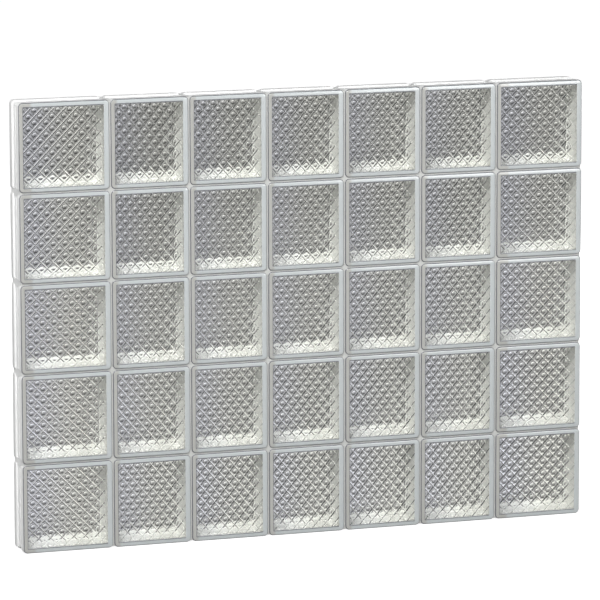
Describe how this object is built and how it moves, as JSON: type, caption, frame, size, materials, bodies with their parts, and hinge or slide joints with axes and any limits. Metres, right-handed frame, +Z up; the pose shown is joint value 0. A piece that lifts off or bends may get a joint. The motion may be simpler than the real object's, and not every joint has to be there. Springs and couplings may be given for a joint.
{
  "type": "glass block window",
  "caption": "Frameless window panel of hollow pressed-glass blocks with a diamond lattice pattern, set edge to edge in clear silicone joints",
  "frame": {"origin": "middle of the underside, on the floor or sill", "axes": "+X along the width to the right, +Y from the front face to the back face, +Z up"},
  "size_m": [1.297, 0.0794, 0.9845],
  "materials": {
    "glass": "clear pressed glass, polished outside, diamond lattice relief inside the faces",
    "silicone": "clear silicone sealant, milky where thick"
  },
  "bodies": {
    "root": {"glass_block_course1_col1": "glass", "glass_block_course1_col2": "glass", "glass_block_course1_col3": "glass", "glass_block_course1_col4": "glass", "glass_block_course1_col5": "glass", "glass_block_course1_col6": "glass", "glass_block_course1_col7": "glass", "glass_block_course2_col1": "glass", "glass_block_course2_col2": "glass", "glass_block_course2_col3": "glass", "glass_block_course2_col4": "glass", "glass_block_course2_col5": "glass", "glass_block_course2_col6": "glass", "glass_block_course2_col7": "glass", "glass_block_course3_col1": "glass", "glass_block_course3_col2": "glass", "glass_block_course3_col3": "glass", "glass_block_course3_col4": "glass", "glass_block_course3_col5": "glass", "glass_block_course3_col6": "glass", "glass_block_course3_col7": "glass", "glass_block_course4_col1": "glass", "glass_block_course4_col2": "glass", "glass_block_course4_col3": "glass", "glass_block_course4_col4": "glass", "glass_block_course4_col5": "glass", "glass_block_course4_col6": "glass", "glass_block_course4_col7": "glass", "glass_block_course5_col1": "glass", "glass_block_course5_col2": "glass", "glass_block_course5_col3": "glass", "glass_block_course5_col4": "glass", "glass_block_course5_col5": "glass", "glass_block_course5_col6": "glass", "glass_block_course5_col7": "glass", "head_joints_course1": "silicone", "head_joints_course2": "silicone", "head_joints_course3": "silicone", "head_joints_course4": "silicone", "head_joints_course5": "silicone", "bed_joint_1": "silicone", "bed_joint_2": "silicone", "bed_joint_3": "silicone", "bed_joint_4": "silicone"}
  },
  "joints": []
}
